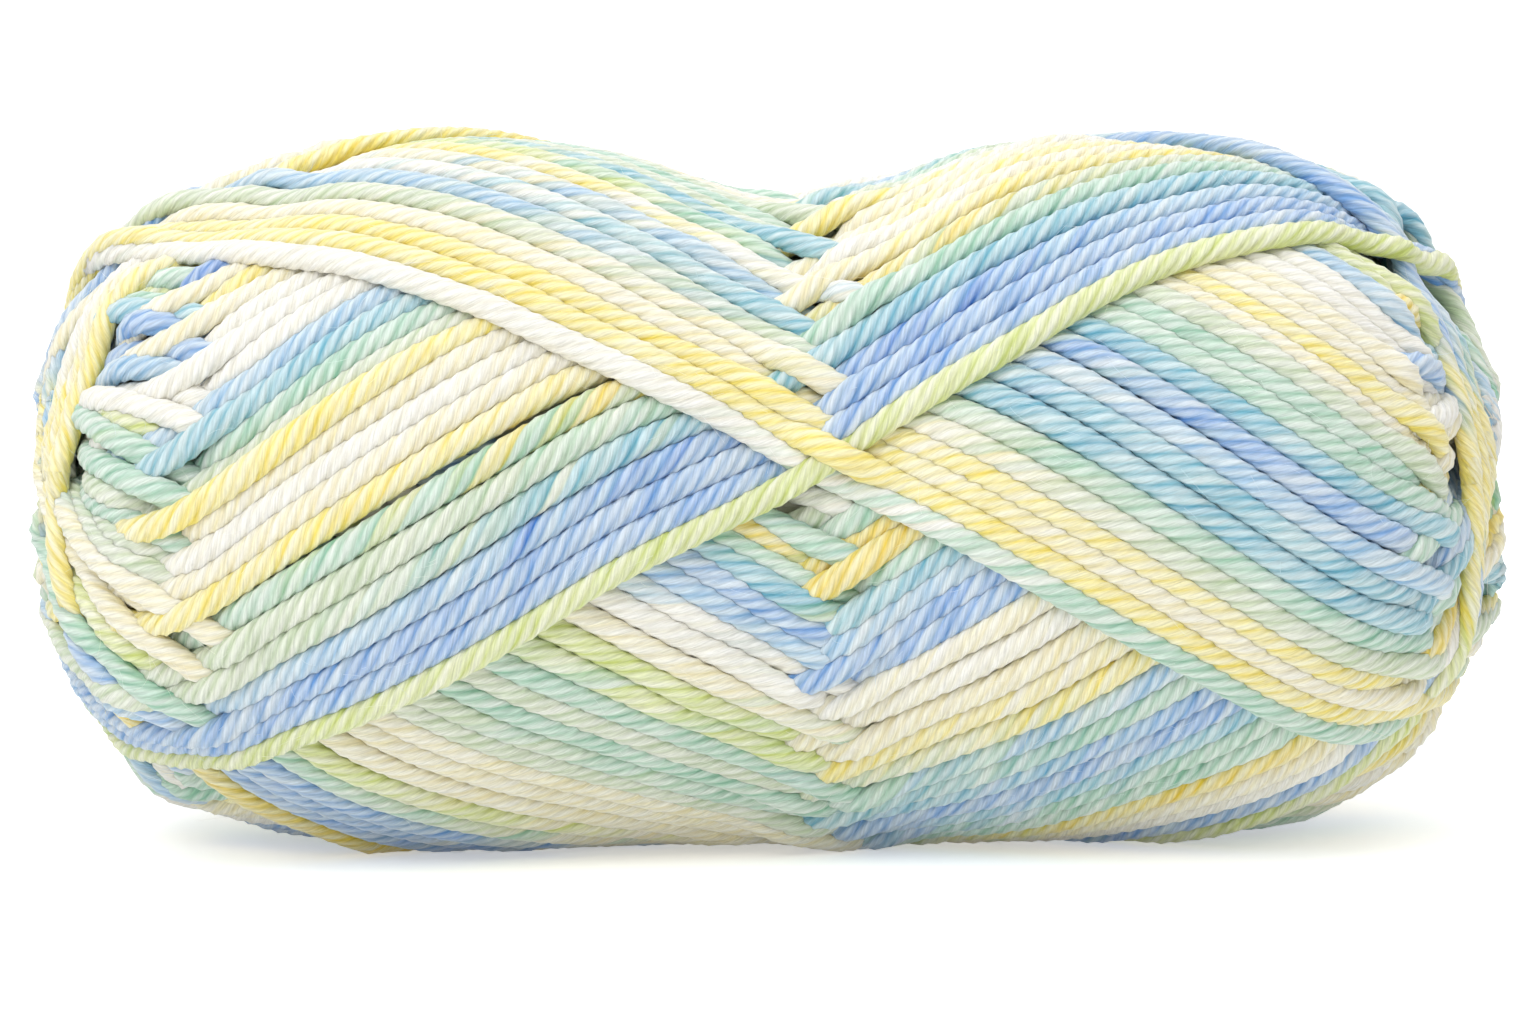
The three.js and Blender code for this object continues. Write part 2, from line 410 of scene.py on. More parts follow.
def contact_at(place):
    """Half the thickness of a strand as it lies: squeezed at the waist and where many chords cross."""
    turn = np.abs(np.interp(place, PLACES, MEAN_TURN))
    t = np.clip((END_TURN - turn) / END_FADE, 0, 1)
    share = END_SHARE + (1 - END_SHARE) * t * t * (3 - 2 * t)
    return CONTACT_RADIUS * share * (1 - (1 - WAIST_SHARE) * np.exp(-((turn / WAIST_TURN) ** 2)))


def cell_of(place, angle):
    """Row and column of the height map at a place and an angle."""
    row = np.clip(np.rint(place / CELL).astype(int), 0, rows - 1)
    return row, np.rint(angle / ANGLE_CELL).astype(int) % columns


def side_step(path):
    """The place and angle that lie one millimetre to the side of each point of a path."""
    radius = np.maximum(np.interp(path["place"], PLACES, OUT_R), LEAST_RADIUS)
    go_place = np.gradient(path["place"])
    go_round = np.radians(np.gradient(path["angle"])) * radius
    size = np.maximum(np.hypot(go_place, go_round), 1e-6)
    return -go_round / size, np.degrees(go_place / size / radius)


# %% Lay one pass
def rest_on(height_map, path, start_height):
    """Height of the middle of a pass that is drawn taut over what lies below it."""
    across_place, across_angle = path["side"]
    floor = np.full(len(path["place"]), -1e9)
    for t in TOUCHING:
        cells = cell_of(path["place"] + t * across_place, path["angle"] + t * across_angle)
        floor = np.maximum(floor, height_map[cells])
    floor = floor + contact_at(path["place"])
    own = path["gone"] < OWN_START
    if start_height is not None:
        floor[own] = start_height
    height = floor
    for _ in range(TAUT_ROUNDS):
        height = np.maximum(floor, soften(height, TAUT_REACH))
    return soften(height, SETTLE_REACH)


def leave_behind(height_map, path, height, first, last):
    """Presses the round back of a pass into the map, between two samples of its path."""
    fine = np.arange(first, last - 1, HALF_SAMPLE)
    sample = np.arange(len(height))
    place, angle, lift = (np.interp(fine, sample, v) for v in (path["place"], path["angle"], height))
    across_place, across_angle = (np.interp(fine, sample, v) for v in path["side"])
    contact = contact_at(place)
    for t in np.linspace(-CONTACT_HALF_WIDTH, CONTACT_HALF_WIDTH, CONTACT_POINTS):
        top = lift + contact * math.sqrt(max(1 - (t / CONTACT_HALF_WIDTH) ** 2, 0))
        np.maximum.at(height_map, cell_of(place + t * across_place, angle + t * across_angle), top)


# %% Wind the skein
def laid_before(number):
    """How long ago a pass was laid. The newest chords at the left slipped under the front band."""
    one = passes[number]
    slipped = one["strand"] < SLIPPED and (one["kind"], one["band"]) in ((FALLING, 1), (RISING, 2))
    return one["back"] + (SLIPPED_ROUNDS * PASSES_A_ROUND if slipped else 0)


def wind(height_map):
    """Lays every pass in turn and returns the heights of their middles."""
    heights = [None] * len(paths)
    held_back = int(OWN_START / PATH_STEP)
    for number in sorted(range(len(paths)), key=laid_before, reverse=True):
        path, before = paths[number], heights[number - 1] if number else None
        height = rest_on(height_map, path, None if before is None else before[-1])
        if before is not None:
            end = len(before)
            leave_behind(height_map, paths[number - 1], before, end - held_back, end)
        leave_behind(height_map, path, height, 0, len(height) - held_back)
        heights[number] = height
    return heights


def soften_map(values):
    """The broad form of a height map, without its single strands."""
    down = np.apply_along_axis(soften, 0, values, LEVEL_REACH)
    half = int(3 * LEVEL_REACH_ROUND) + 1
    joined = np.concatenate([down[:, -half:], down, down[:, :half]], axis=1)
    return np.apply_along_axis(soften, 1, joined, LEVEL_REACH_ROUND)[:, half:-half]


for path in paths:
    path["side"] = side_step(path)
older = older_yarn()
base = older - FIRST_DEPTH
for round_number in range(LEVELLING_ROUNDS):
    height_map = base.copy()
    wind(height_map)
    piled = soften_map(height_map - older) + CREST_ROOM
    base = base - piled
    off = [round(float(value), 1) for value in (piled.min(), piled.max())]
    print("Winding", round_number + 1, "is off by", off, "mm")
height_map = base.copy()
for path, height in zip(paths, wind(height_map)):
    path["height"] = height

# %% [markdown]
# Drawing the ends in
# At the ends so many chords cross that the pile can't be levelled by sinking the body alone. There
# every pass is moved by as much as the yarn stands over the outline, which leaves the order of the
# strands as it is, and a single strand that still stands proud is pressed in. The surface of the
# inner yarn follows from the same map.

# %% Ends drawn to the outline
END_TURNS = (44.0, 60.0)
END_CREST_ROOM = 1.35
PROUD_ROOM = 0.3
PROUD_SHARE = 0.4
INNER_UNDER = 1.25
LOW_REACH = 8
DEEPEST = -7.0
mean_turn = np.abs(np.interp(row_places, PLACES, MEAN_TURN))
END_SHARES = np.clip((mean_turn - END_TURNS[0]) / (END_TURNS[1] - END_TURNS[0]), 0, 1)


def over_the_outline():
    """How far the yarn of the ends still stands over the outline, cell by cell."""
    off = soften_map(height_map - older) + END_CREST_ROOM
    return off * END_SHARES[:, None]


def lowest_near(values, reach):
    """The lowest value near each cell, so that nothing pokes through a strand beside a step."""
    for axis in (0, 1):
        near = [np.roll(values, step, axis=axis) for step in range(-reach, reach + 1, 2)]
        values = np.min(near, axis=0)
    return values


too_high = over_the_outline()
for path in paths:
    cells = cell_of(path["place"], path["angle"])
    moved = path["height"] - too_high[cells]
    proud = np.maximum(moved + END_CREST_ROOM - older[cells] - PROUD_ROOM, 0) * END_SHARES[cells[0]]
    path["drawn"] = soften(moved - proud * (1 - PROUD_SHARE), SETTLE_REACH)
inner_height = soften_map(lowest_near(height_map - too_high, LOW_REACH)) - INNER_UNDER
inner_height = np.maximum(inner_height, DEEPEST)
print("The ends were drawn in by up to", round(float(too_high.max()), 1), "mm")

# %% [markdown]
# What shows of each pass
# Most of the yarn is hidden under newer passes, and modelling it would waste triangles. Each pass is
# compared with the finished height map: where its back is near the top, it shows. Those runs are kept
# with a few millimetres more at each end, so that they dive under their neighbours and never stop in view.

# %% Runs that show
SHOWS_WITHIN = 0.55
RUN_MARGIN = 3.4
SHORTEST_RUN = 2.0
LOOKED_AT = (-0.8, -0.4, 0.0, 0.4, 0.8)


def showing(path):
    """True for each sample of a path whose back is near the top of the wound yarn."""
    across_place, across_angle = path["side"]
    contact = contact_at(path["place"])
    seen = np.zeros(len(path["place"]), bool)
    for t in LOOKED_AT:
        back = path["height"] + contact * math.sqrt(1 - (t / CONTACT_HALF_WIDTH) ** 2)
        cells = cell_of(path["place"] + t * across_place, path["angle"] + t * across_angle)
        seen |= back >= height_map[cells] - SHOWS_WITHIN * contact / CONTACT_RADIUS
    return seen


def runs_of(path):
    """First and last samples of each stretch to model."""
    seen = showing(path)
    reach = int(RUN_MARGIN / PATH_STEP)
    wide = np.convolve(seen.astype(int), np.ones(2 * reach + 1, int), mode="same") > 0
    edges = np.flatnonzero(np.diff(np.concatenate([[0], wide.astype(int), [0]])))
    least = (SHORTEST_RUN + 2 * RUN_MARGIN) / PATH_STEP
    return [(a, b) for a, b in zip(edges[::2], edges[1::2]) if b - a > least]


for path in paths:
    path["runs"] = runs_of(path)
shown_length = sum((b - a) * PATH_STEP for path in paths for a, b in path["runs"])
print("Yarn that shows:", round(shown_length * MM, 2), "m in", sum(len(p["runs"]) for p in paths), "runs")

# %% [markdown]
# From the outline to space
# The winding is flat arithmetic: a place along the outline, an angle round it and a height over it.
# One function turns these into points in metres in the frame. The underside is pressed flat by the
# skein's own weight, so no strand's middle may lie lower than most of its radius.

# %% Points in space
STRAND_RADIUS = 1.2
FLATTENED = 0.84
SPREAD = 1.08
LOWEST_MIDDLE = 1.0


def points_in_space(place, angle, height):
    """Points in metres, and the outward direction of the skein at each."""
    turn = np.radians(angle)
    facing_x, facing_r = np.interp(place, PLACES, FACING_X), np.interp(place, PLACES, FACING_R)
    x = np.interp(place, PLACES, OUT_X) + facing_x * height
    radius = np.interp(place, PLACES, OUT_R) + facing_r * height
    middle = np.interp(x, body_x, body_height)
    z = middle - radius * np.sin(turn) - FLAT_PRESS
    points = np.stack([x, -radius * np.cos(turn), z], axis=1)
    outward = np.stack([facing_x, -facing_r * np.cos(turn), -facing_r * np.sin(turn)], axis=1)
    return points, outward


# %% [markdown]
# The dye
# The yarn is dyed in stretches of pastel, and nearly the same stretch comes back at each round, so
# strands that lie side by side share a colour that slowly moves on. Like a knitting chart, a letter
# stands for a colour and a row for a band, newest strand first. Three rows give the left, the middle
# and the right of the skein. The plies don't change colour at the same place, which makes the
# barber's pole where one colour runs out into the next.

# %% Colour chart
DYES = {
    "W": (0.975, 0.965, 0.925), "C": (0.975, 0.945, 0.820), "Y": (0.985, 0.925, 0.560),
    "O": (0.960, 0.870, 0.400), "G": (0.870, 0.905, 0.620), "S": (0.830, 0.880, 0.770),
    "M": (0.700, 0.850, 0.770), "A": (0.550, 0.780, 0.850), "L": (0.670, 0.810, 0.910),
    "P": (0.585, 0.738, 0.905), "B": (0.430, 0.635, 0.875),
}
UNDYED = (0.970, 0.962, 0.930)
ROWS = {
    (RISING, 0): "GPPLSSMYCWCYSMALWWWCYCBGCYW GPPBAMOCWCCYSMALWWWCYCBGCYW GPPLAMSYCYCWWSMSWCYCMMAPWCY",
    (FALLING, 0): "WYYCSLWCYGSSMSCWMMLPAWCSMYW WYYCCSALWMASMSCWMMLPAWCSMYW MYCYSMAALPAMMSCYCCWWLGGSWMY",
    (RISING, 1): "MYWAPPSMCCWYGMMAPPWCCYMMLSW YMCSSMPPPAAMSYCCWPPLAMOOMSW GPWCOMMAPPMLYCCWCPPLAMOOMSW",
    (FALLING, 1): "OPPPMGCCCSSMSMMGWWLPPAMOMSW CCCCCCCCCSMMSMGGCWWLPAMOMSW YGMPAMSCCYWCPPLMMSCWCYGMLWS",
    (RISING, 2): "YCWCPLMMSCYWCGMLPPAMWCCYSMW YCWLPMMSCCYWCGMAPPLMWCCYMSW CYWWLPPMSCCYGMMAPLWWCYSMMYC",
    (FALLING, 2): "MLPWCCYSMMAPPLWCCYGMMALWPSC MLAPWCCYGMMAPPLWCYGMMALWPSC PLAMSWCCYGMMAPPWWCYCSMMLWCY",
}
CHART = {key: rows.split() for key, rows in ROWS.items()}
# colours right at the ends, for the newest chords that face the front
LEFT_CHORDS, RIGHT_CHORDS = "YYYYCYYWALPAWMYBYCMYLWPAWCY", "YYYCWGLWSCYWMGYCLWSMYCWPMAW"
LEFT_TIPS = {(RISING, 2): LEFT_CHORDS, (FALLING, 1): LEFT_CHORDS}
RIGHT_TIPS = {(RISING, 1): RIGHT_CHORDS, (FALLING, 2): RIGHT_CHORDS}
# where along a pass one colour changes to the next, from tip to tip, and how slowly
CHANGES = ((0.14, 0.10), (0.40, 0.15), (0.56, 0.15), (0.86, 0.10))
PLY_SPREAD = 0.06
PATCH_LENGTH = 7.0
PATCH_DEEPER = -0.15
PATCH_PALER = 0.55


def linear(colour):
    """A colour as it looks on a screen, turned into the light that a shader works with."""
    return np.where(colour <= 0.04045, colour / 12.92, ((colour + 0.055) / 1.055) ** 2.4)


def dye_stations(number):
    """The colours of a pass at its left tip, left, middle, right and right tip."""
    one = passes[number]
    key, strand = (one["kind"], one["band"]), one["strand"] % STRANDS
    left, middle, right = (np.array(DYES[row[strand]]) for row in CHART[key])
    tips = []
    for side, table, own in ((-1, LEFT_TIPS, left), (1, RIGHT_TIPS, right)):
        if key in table:
            tips.append(np.array(DYES[table[key][strand]]))
            continue
        goes_on = 1 if (one["kind"] == RISING) == (side > 0) else -1
        other = passes[min(max(number + goes_on, 0), len(passes) - 1)]
        row = CHART[(other["kind"], other["band"])][0 if side < 0 else 2]
        tips.append((own + np.array(DYES[row[other["strand"] % STRANDS]])) / 2)
    return np.array([tips[0], left, middle, right, tips[1]])


def dye_at(stations, turn):
    """Colours for an array of turns: they stay, then change, then stay again."""
    spot = np.clip((turn + SECTOR) / (2 * SECTOR), 0, 1)
    colour = np.broadcast_to(stations[0], spot.shape + (3,)).copy()
    for station, (centre, width) in zip(stations[1:], CHANGES):
        t = np.clip((spot - centre) / width + 0.5, 0, 1)[..., None]
        colour += (station - colour) * (t * t * (3 - 2 * t))
    return colour


# %% [markdown]
# One plied strand
# A curve with a lobed section is the simplest true model of a plied yarn. Each lobe is a ridge, and
# tilting the section as the curve goes along twists the ridges round each other. Six low ridges at a
# long pitch slant and follow each other as on the soft yarn of the skein. Curve objects do this by
# themselves with a bevel object and a tilt at each point. All the runs of one band go into one curve
# object, and it is then made a mesh, because points of a mesh can carry the dye.

# %% Objects and meshes
def add_object(name, data):
    """A new object in the scene."""
    made = bpy.data.objects.new(name, data)
    bpy.context.scene.collection.objects.link(made)
    return made


def mesh_of_curves(name, data):
    """The mesh that curves make with their bevel."""
    made = add_object(name + "_curve", data)
    bpy.context.view_layer.update()
    shape = made.evaluated_get(bpy.context.evaluated_depsgraph_get())
    mesh = bpy.data.meshes.new_from_object(shape)
    mesh.name = name
    bpy.data.objects.remove(made)
    return mesh


# %% Section of the yarn
SECTION_POINTS = 24
PLIES = 6
VALLEY = 0.86
PLY_PITCH = 10.2
LOBE_POWER = 2.2
RING_STEP = 1.2
LEAST_RINGS = 4
JOINED = 9
THINNEST, THICKEST = 0.965, 1.03
SWELL, SWELL_LENGTH = 0.025, 4.1
DYE_LOW, DYE_HIGH = 0.02, 0.99
STREAK_SPIN = 0.6
POINT_PLY = (np.arange(SECTION_POINTS) + SECTION_POINTS // PLIES // 2) * PLIES // SECTION_POINTS % PLIES
around = np.arange(SECTION_POINTS) * 2 * math.pi / SECTION_POINTS
lobe = 1 - (1 - VALLEY) * np.abs(np.sin(PLIES / 2 * around)) ** LOBE_POWER


def section_curve():
    """The closed outline with six lobes that is drawn along every strand."""
    data = bpy.data.curves.new("yarn_section", "CURVE")
    spline = data.splines.new("POLY")
    spline.points.add(SECTION_POINTS - 1)
    for point, turn, size in zip(spline.points, around, lobe):
        reach = STRAND_RADIUS * MM * size
        point.co = (reach * math.cos(turn), reach * math.sin(turn), 0, 1)
    spline.use_cyclic_u = True
    made = add_object("yarn_section", data)
    made.hide_render = True
    return made


yarn_section = section_curve()
print("Section of", SECTION_POINTS, "points with", PLIES, "ridges")


# %% Rings of one run
def run_on(number):
    """A pass with the first millimetres of the next one, so that the yarn turns without a joint."""
    path, after = paths[number], paths[(number + 1) % len(paths)]
    full_turns = 360 * round((path["angle"][-1] - after["angle"][0]) / 360)
    start = {key: after[key][:JOINED].copy() for key in ("place", "angle", "drawn", "turn", "gone")}
    start["angle"] += full_turns
    start["gone"] += path["gone"][-1]
    for key in ("place", "angle", "drawn"):
        start[key] += (path[key][-1] - start[key][0]) * np.linspace(1, 0, JOINED)
    return {key: np.concatenate([path[key], start[key][1:]]) for key in start}


def run_rings(number, first, last):
    """Middles, outward directions, turns and distances of the rings of one run."""
    path = paths[number]
    if last == len(path["place"]) and number + 1 < len(paths):
        path, last = run_on(number), last + JOINED - 1
    count = max(int((last - first - 1) * PATH_STEP / RING_STEP), LEAST_RINGS)
    sample = np.linspace(first, last - 1, count)
    index = np.arange(len(path["place"]))
    place, angle, height, turn, gone = (
        np.interp(sample, index, path[key]) for key in ("place", "angle", "drawn", "turn", "gone")
    )
    points, outward = points_in_space(place, angle, height)
    points[:, 2] = np.maximum(points[:, 2], LOWEST_MIDDLE)
    return points * MM, outward, turn, gone


def patches(length):
    """Where each ply took less dye or more: a share at each of a row of places along the strand."""
    spots = np.arange(0, length + PATCH_LENGTH, PATCH_LENGTH)
    return spots, rng.uniform(PATCH_DEEPER, PATCH_PALER, (PLIES, len(spots)))


# %% One band of strands
def strand_object(name, members):
    """Every run of one band as one mesh of plied strands, with its dye in each point."""
    data = bpy.data.curves.new(name, "CURVE")
    data.dimensions = "3D"
    data.twist_mode = "MINIMUM"
    data.bevel_mode = "OBJECT"
    data.bevel_object = yarn_section
    rings = []
    for number in members:
        stations = dye_stations(number)
        thickness = rng.uniform(THINNEST, THICKEST)
        phase = rng.uniform(0, 2 * math.pi)
        ply_shift = rng.uniform(-PLY_SPREAD, PLY_SPREAD, PLIES) * 2 * SECTOR
        spots, shares = patches(paths[number]["gone"][-1])
        for first, last in paths[number]["runs"]:
            points, outward, turn, gone = run_rings(number, first, last)
            count = len(points)
            spline = data.splines.new("POLY")
            spline.points.add(count - 1)
            spline.points.foreach_set("co", np.hstack([points, np.ones((count, 1))]).ravel())
            tilt = phase - 2 * math.pi * gone / PLY_PITCH
            spline.points.foreach_set("tilt", tilt)
            swell = 1 + SWELL * np.sin(gone / SWELL_LENGTH + phase)
            spline.points.foreach_set("radius", thickness * swell)
            shifted = turn[:, None] + ply_shift[POINT_PLY][None, :]
            paler = np.array([np.interp(gone, spots, share) for share in shares]).T[:, POINT_PLY, None]
            yarn_colour = dye_at(stations, shifted)
            yarn_colour = np.clip(yarn_colour + (np.array(UNDYED) - yarn_colour) * paler, DYE_LOW, DYE_HIGH)
            rings.append((points, outward, gone, tilt, yarn_colour))
    mesh = mesh_of_curves(name, data)
    write_points(mesh, rings)
    return add_object(name, mesh)


def write_points(mesh, rings):
    """Stores the dye, the place on the strand and the relief of every point of a strand mesh.
    The relief tells the material where to paint highlight and where to paint shade.
    """
    co = np.empty(len(mesh.vertices) * 3)
    mesh.vertices.foreach_get("co", co)
    co = co.reshape(-1, SECTION_POINTS, 3)
    middle = np.concatenate([r[0] for r in rings])
    outward = np.concatenate([r[1] for r in rings])
    if len(co) != len(middle):
        raise ValueError(f"{mesh.name}: {len(co)} rings, but {len(middle)} middles")
    colour = linear(np.concatenate([r[4] for r in rings]))
    rgba = np.concatenate([colour, np.ones(colour.shape[:2] + (1,))], axis=2)
    gone = np.concatenate([r[2] for r in rings])[:, None]
    spin = np.concatenate([r[3] for r in rings])[:, None] * STREAK_SPIN + around[None, :]
    place = np.stack(np.broadcast_arrays(gone, np.cos(spin), np.sin(spin)), axis=2)
    offset = co - middle[:, None]
    out = (offset * outward[:, None]).sum(axis=2)
    offset = SPREAD * offset + (FLATTENED - SPREAD) * out[..., None] * outward[:, None]
    co = middle[:, None] + offset
    out = out / (STRAND_RADIUS * MM)
    # How deep in a groove and how far out on its strand each point lies: where the material paints highlight
    # and shade
    relief = np.stack(np.broadcast_arrays(lobe[None, :] + 0 * out, out, 0 * out), axis=2)
    co[:, :, 2] = np.maximum(co[:, :, 2], 0.0)
    mesh.vertices.foreach_set("co", co.ravel())
    dye = mesh.attributes.new("dye", "FLOAT_COLOR", "POINT")
    dye.data.foreach_set("color", rgba.ravel())
    for name, values in (("strand", place), ("relief", relief)):
        mesh.attributes.new(name, "FLOAT_VECTOR", "POINT").data.foreach_set("vector", values.ravel())
    close_ends(mesh)


def close_ends(mesh):
    """Caps the cut ends of the strands, and shades every face smoothly."""
    bm = bmesh.new()
    bm.from_mesh(mesh)
    bmesh.ops.holes_fill(bm, edges=[edge for edge in bm.edges if edge.is_boundary], sides=0)
    for face in bm.faces:
        face.smooth = True
    bm.to_mesh(mesh)
    bm.free()


# %% Make all the bands
strand_pieces = []
for (kind, band) in CHART:
    members = [n for n, one in enumerate(passes) if (one["kind"], one["band"]) == (kind, band)]
    piece = strand_object(f"{kind}_strands_{BAND_NAMES[band]}", members)
    strand_pieces.append(piece)
    piece.data.calc_loop_triangles()
    print(piece.name, len(piece.data.loop_triangles), "triangles")
bpy.data.objects.remove(yarn_section)

# %% [markdown]
# The yarn inside
# Between the strands one can look a little way into the skein. A body just under them closes those
# gaps. It is spun as a straight tube, one ring for each place along the outline, and its points are
# then moved to lie just under the wound yarn. It is coloured like yarn in shade.

# %% Inner yarn
INNER_STEP = 1.2
INNER_STEPS_ROUND = 96
LOWEST_INNER = 0.6
LEAST_ACROSS = 0.1
SAME_POINT = 0.02


def inner_yarn():
    """A tube spun round the axis and then moved to lie just under the strands."""
    mesh = bpy.data.meshes.new("inner_yarn")
    bm = bmesh.new()
    rings = np.linspace(0, PLACES[-1], int(PLACES[-1] / INNER_STEP))
    line = [bm.verts.new((place, 0, 1)) for place in rings]
    edges = [bm.edges.new(pair) for pair in zip(line, line[1:])]
    bmesh.ops.spin(bm, geom=line + edges, cent=(0, 0, 0), axis=(1, 0, 0), angle=2 * math.pi,
                   steps=INNER_STEPS_ROUND, use_merge=True)
    spots = np.array([vert.co for vert in bm.verts])
    place, angle = spots[:, 0], np.degrees(np.arctan2(-spots[:, 2], -spots[:, 1]))
    height = inner_height[cell_of(place, angle)]
    height = np.maximum(height, LEAST_ACROSS - np.interp(place, PLACES, OUT_R))
    points = points_in_space(place, angle, height)[0]
    points[:, 2] = np.maximum(points[:, 2], LOWEST_INNER)
    for vert, point in zip(bm.verts, points):
        vert.co = point * MM
    bmesh.ops.remove_doubles(bm, verts=bm.verts, dist=SAME_POINT * MM)
    bmesh.ops.holes_fill(bm, edges=[e for e in bm.edges if e.is_boundary], sides=0)
    bmesh.ops.recalc_face_normals(bm, faces=bm.faces)
    for face in bm.faces:
        face.smooth = True
    bm.to_mesh(mesh)
    bm.free()
    return add_object("inner_yarn", mesh)


inner = inner_yarn()
print("Inner yarn:", len(inner.data.polygons), "faces")

# %% [markdown]
# Stray fibres
# Soft yarn has a haze of loose fibres. They are thin tubes, too fine to be seen singly from a step
# away, so some two thousand with four sides are enough to soften the edges of the strands. Each
# starts near the back of a strand, leans over to one side and curls back down.

# %% Stray fibres
FIBRES = 2200
FIBRE_RADIUS = 0.015
FIBRE_POINTS = 6
FIBRE_ROOT = 0.86
FIBRE_LEAN = 1.0
FIBRE_ASIDE, FIBRE_RISE = 0.5, 0.4
FIBRE_CURL, FIBRE_FALL, FIBRE_BEND = 0.35, 0.12, 0.5
FIBRE_STEPS, FIBRE_STRETCH = (0.25, 0.75), (0.6, 1.6)
FIBRE_TAPER = 0.6
FIBRE_PALER = 0.65
LOWEST_FIBRE = 0.05


def fibre_points(start, ahead, across, away, up):
    """Points of one loose fibre, which sets out along its strand and bends as it goes."""
    heading = ahead * rng.choice((-1, 1)) + across * rng.normal(0, FIBRE_ASIDE)
    heading = heading + away * rng.uniform(0.0, FIBRE_RISE)
    curl = rng.normal(0, FIBRE_CURL, 3) - FIBRE_FALL * up
    step = rng.uniform(*FIBRE_STEPS) * rng.uniform(*FIBRE_STRETCH)
    spots = [start]
    for _ in range(FIBRE_POINTS - 1):
        heading = heading / np.linalg.norm(heading) + curl * FIBRE_BEND
        spots.append(spots[-1] + heading / np.linalg.norm(heading) * step)
    return np.maximum(spots, (-1e3, -1e3, LOWEST_FIBRE))


def stray_fibres():
    """All the loose fibres as one mesh, each in a paler dye than its strand."""
    data = bpy.data.curves.new("stray_fibres", "CURVE")
    data.dimensions = "3D"
    data.bevel_depth = FIBRE_RADIUS * MM
    data.bevel_resolution = 0
    lengths = np.array([sum(b - a for a, b in path["runs"]) for path in paths], float)
    tints = []
    for number in rng.choice(len(paths), FIBRES, p=lengths / lengths.sum()):
        path = paths[number]
        first, last = path["runs"][rng.integers(len(path["runs"]))]
        margin = int(RUN_MARGIN / PATH_STEP)
        root = int(rng.integers(first + margin, max(last - margin, first + margin + 1)))
        rest = slice(max(root - 1, 0), root + 1)
        point, outward = points_in_space(path["place"][rest], path["angle"][rest], path["drawn"][rest])
        ahead = point[-1] - point[0]
        ahead /= max(np.linalg.norm(ahead), 1e-6)
        up = outward[-1]
        across = np.cross(ahead, up)
        lean = rng.uniform(-FIBRE_LEAN, FIBRE_LEAN)
        away = up * math.cos(lean) + across * math.sin(lean)
        start = point[-1] + STRAND_RADIUS * FIBRE_ROOT * away
        spline = data.splines.new("POLY")
        spline.points.add(FIBRE_POINTS - 1)
        for k, spot in enumerate(fibre_points(start, ahead, across, away, up)):
            spline.points[k].co = (*(spot * MM), 1)
            spline.points[k].radius = 1 - FIBRE_TAPER * k / (FIBRE_POINTS - 1)
        turn = path["turn"][root]
        tints.append(dye_at(dye_stations(number), np.array([turn]))[0])
    mesh = mesh_of_curves("stray_fibres", data)
    sides = len(mesh.vertices) // (FIBRES * FIBRE_POINTS)
    tints = (1 - FIBRE_PALER) * np.array(tints) + FIBRE_PALER
    colour = np.repeat(linear(tints), sides * FIBRE_POINTS, axis=0)
    rgba = np.hstack([colour, np.ones((len(colour), 1))])
    mesh.attributes.new("dye", "FLOAT_COLOR", "POINT").data.foreach_set("color", rgba.ravel())
    return add_object("stray_fibres", mesh)


fibres = stray_fibres()
print("Stray fibres:", len(fibres.data.polygons), "faces")

# %% [markdown]
# The finish of the yarn
# Acrylic baby yarn is matt and soft. Fine fibres run along each ply and catch the light, painted as
# streaks a little brighter and darker than the dye. The crests of the plies and the outward sides of
# the strands are painted paler, a painted highlight, and the grooves between plies and strands get a
# deeper, darker colour, painted shade that stands in for the shadow and the light bounced from dyed
# fibre to dyed fibre in there. One node group holds the fibre streaks and this painted light and
# shade, and both the strands and the inner yarn use it with their own values.

# %% Shared fibre effect with painted light and shade
# Colour and share of the painted highlight on the crests of the plies
CREST_HIGHLIGHT_COLOUR = (1, 0.99, 0.965, 1)
CREST_HIGHLIGHT_SHARE = 0.40
FINE_STREAKS, BROAD_STREAKS = (0.55, 5.5, 5.5), (0.16, 1.3, 1.3)


def add_node(tree, kind, inputs=None, **settings):
    """A node with its settings made and its inputs given as values or linked."""
    node = tree.nodes.new(kind)
    for key, value in settings.items():
        setattr(node, key, value)
    for key, value in (inputs or {}).items():
        if isinstance(value, bpy.types.NodeSocket):
            tree.links.new(value, node.inputs[key])
        else:
            node.inputs[key].default_value = value
    return node


